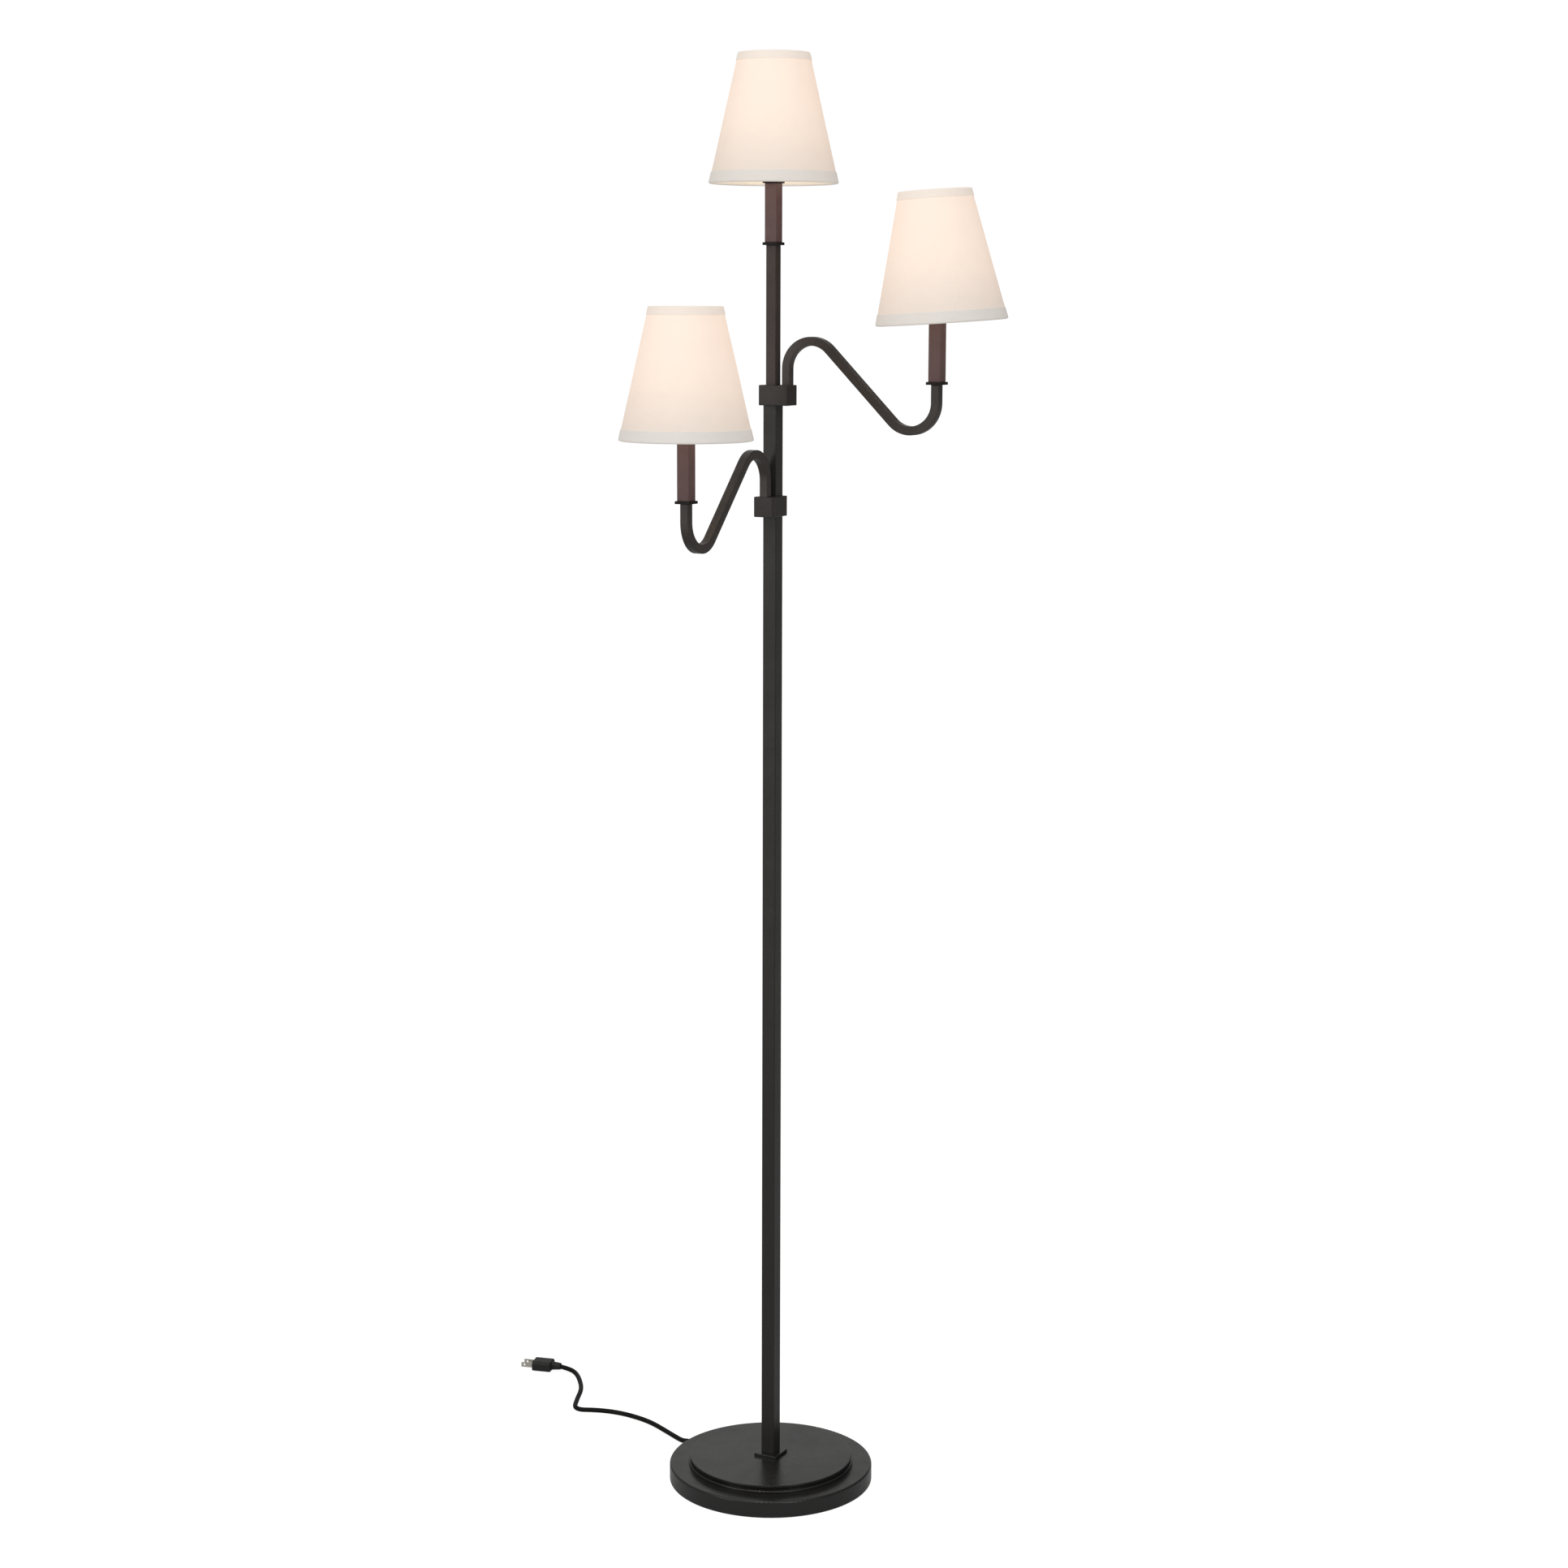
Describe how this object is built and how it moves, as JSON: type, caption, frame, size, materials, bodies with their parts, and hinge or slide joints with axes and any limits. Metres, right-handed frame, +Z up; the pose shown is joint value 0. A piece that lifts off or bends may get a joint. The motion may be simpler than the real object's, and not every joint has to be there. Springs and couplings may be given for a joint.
{
  "type": "tree floor lamp",
  "caption": "Tree floor lamp with a square pole, S-curved arms set at a right angle, tapered linen shades and a weighted stepped round base.",
  "frame": {"origin": "on the floor, on the axis of the pole, at the underside of the base pad", "axes": "+Z up along the pole; the upper arm runs along +X and the lower arm along -Y; the pole faces are square to X and Y; the cord leaves the base towards -X"},
  "size_m": [0.7726, 0.484, 1.7475],
  "materials": {
    "base_black": "satin dark bronze-black paint on cast iron",
    "pole_bronze": "satin oil-rubbed bronze paint, nearly black",
    "arm_bronze": "satin oil-rubbed bronze paint",
    "sleeve_bronze": "satin plum-brown bronze paint",
    "plate_bronze": "satin dark bronze paint",
    "zinc_steel": "zinc-plated hardware inside the lamp",
    "felt_black": "thin felt pad",
    "linen": "off-white linen weave over a stiff liner, lit from inside",
    "linen_trim": "self-fabric trim band",
    "frame_wire": "plated steel wire",
    "brass": "plain brass",
    "socket_black": "moulded phenolic",
    "key_black": "moulded switch key",
    "bulb_glass": "frosted glass",
    "cord_black": "smooth black jacket",
    "plug_black": "moulded plug and gland",
    "blade_nickel": "plated plug blades"
  },
  "bodies": {
    "stand": {"base_pad": "felt_black", "base_plate": "base_black", "base_step_disc": "base_black", "foot_flange": "base_black", "pole_stud": "zinc_steel", "pole_washer": "zinc_steel", "pole_nut": "zinc_steel", "pole_foot_block": "zinc_steel", "pole_lower": "pole_bronze", "pole_upper": "pole_bronze", "pole_reducer": "zinc_steel", "collar_upper": "pole_bronze", "collar_lower": "pole_bronze", "collar_set_screws": "zinc_steel", "arm_upper": "arm_bronze", "arm_lower": "arm_bronze", "cord_gland": "plug_black", "cord": "cord_black", "cord_lead_inside": "cord_black", "plug_body": "plug_black", "plug_blades": "blade_nickel", "plate_lower_top": "plate_bronze", "sleeve_top": "sleeve_bronze", "plate_upper_top": "plate_bronze", "nipple_top": "zinc_steel", "socket_body_top": "socket_black", "socket_shell_top": "brass", "plate_lower_right": "plate_bronze", "sleeve_right": "sleeve_bronze", "plate_upper_right": "plate_bronze", "nipple_right": "zinc_steel", "socket_body_right": "socket_black", "socket_shell_right": "brass", "plate_lower_left": "plate_bronze", "sleeve_left": "sleeve_bronze", "plate_upper_left": "plate_bronze", "nipple_left": "zinc_steel", "socket_body_left": "socket_black", "socket_shell_left": "brass"},
    "switch_top": {"switch_key_top": "key_black"},
    "bulb_top": {"bulb_cap_top": "brass", "bulb_glass_top": "bulb_glass", "bulb_clip_top": "frame_wire"},
    "shade_top": {"shade_cover_top": "linen", "shade_trim_top": "linen_trim", "shade_frame_top": "frame_wire"},
    "switch_right": {"switch_key_right": "key_black"},
    "bulb_right": {"bulb_cap_right": "brass", "bulb_glass_right": "bulb_glass", "bulb_clip_right": "frame_wire"},
    "shade_right": {"shade_cover_right": "linen", "shade_trim_right": "linen_trim", "shade_frame_right": "frame_wire"},
    "switch_left": {"switch_key_left": "key_black"},
    "bulb_left": {"bulb_cap_left": "brass", "bulb_glass_left": "bulb_glass", "bulb_clip_left": "frame_wire"},
    "shade_left": {"shade_cover_left": "linen", "shade_trim_left": "linen_trim", "shade_frame_left": "frame_wire"}
  },
  "joints": [
    {"name": "switch_turn_top", "type": "hinge", "parent": "stand", "child": "switch_top", "pos_m": [0, 0, 1.617], "axis": [-0.4587, 0.8886, 0], "continuous": true},
    {"name": "bulb_screw_top", "type": "hinge", "parent": "stand", "child": "bulb_top", "pos_m": [0, 0, 1.6735], "axis": [0, 0, 1], "continuous": true},
    {"name": "shade_tilt_top", "type": "hinge", "parent": "bulb_top", "child": "shade_top", "pos_m": [0, 0, 1.6735], "axis": [0, 1, 0], "range_deg": [-12, 12]},
    {"name": "switch_turn_right", "type": "hinge", "parent": "stand", "child": "switch_right", "pos_m": [0.212, 0, 1.458], "axis": [-0.4587, 0.8886, 0], "continuous": true},
    {"name": "bulb_screw_right", "type": "hinge", "parent": "stand", "child": "bulb_right", "pos_m": [0.212, 0, 1.5145], "axis": [0, 0, 1], "continuous": true},
    {"name": "shade_tilt_right", "type": "hinge", "parent": "bulb_right", "child": "shade_right", "pos_m": [0.212, 0, 1.5145], "axis": [0.4587, -0.8886, 0], "range_deg": [-15.7, 8.3]},
    {"name": "switch_turn_left", "type": "hinge", "parent": "stand", "child": "switch_left", "pos_m": [0, -0.212, 1.327], "axis": [-0.4587, 0.8886, 0], "continuous": true},
    {"name": "bulb_screw_left", "type": "hinge", "parent": "stand", "child": "bulb_left", "pos_m": [0, -0.212, 1.3835], "axis": [0, 0, 1], "continuous": true},
    {"name": "shade_tilt_left", "type": "hinge", "parent": "bulb_left", "child": "shade_left", "pos_m": [0, -0.212, 1.3835], "axis": [0, 1, 0], "range_deg": [-12, 12]}
  ]
}
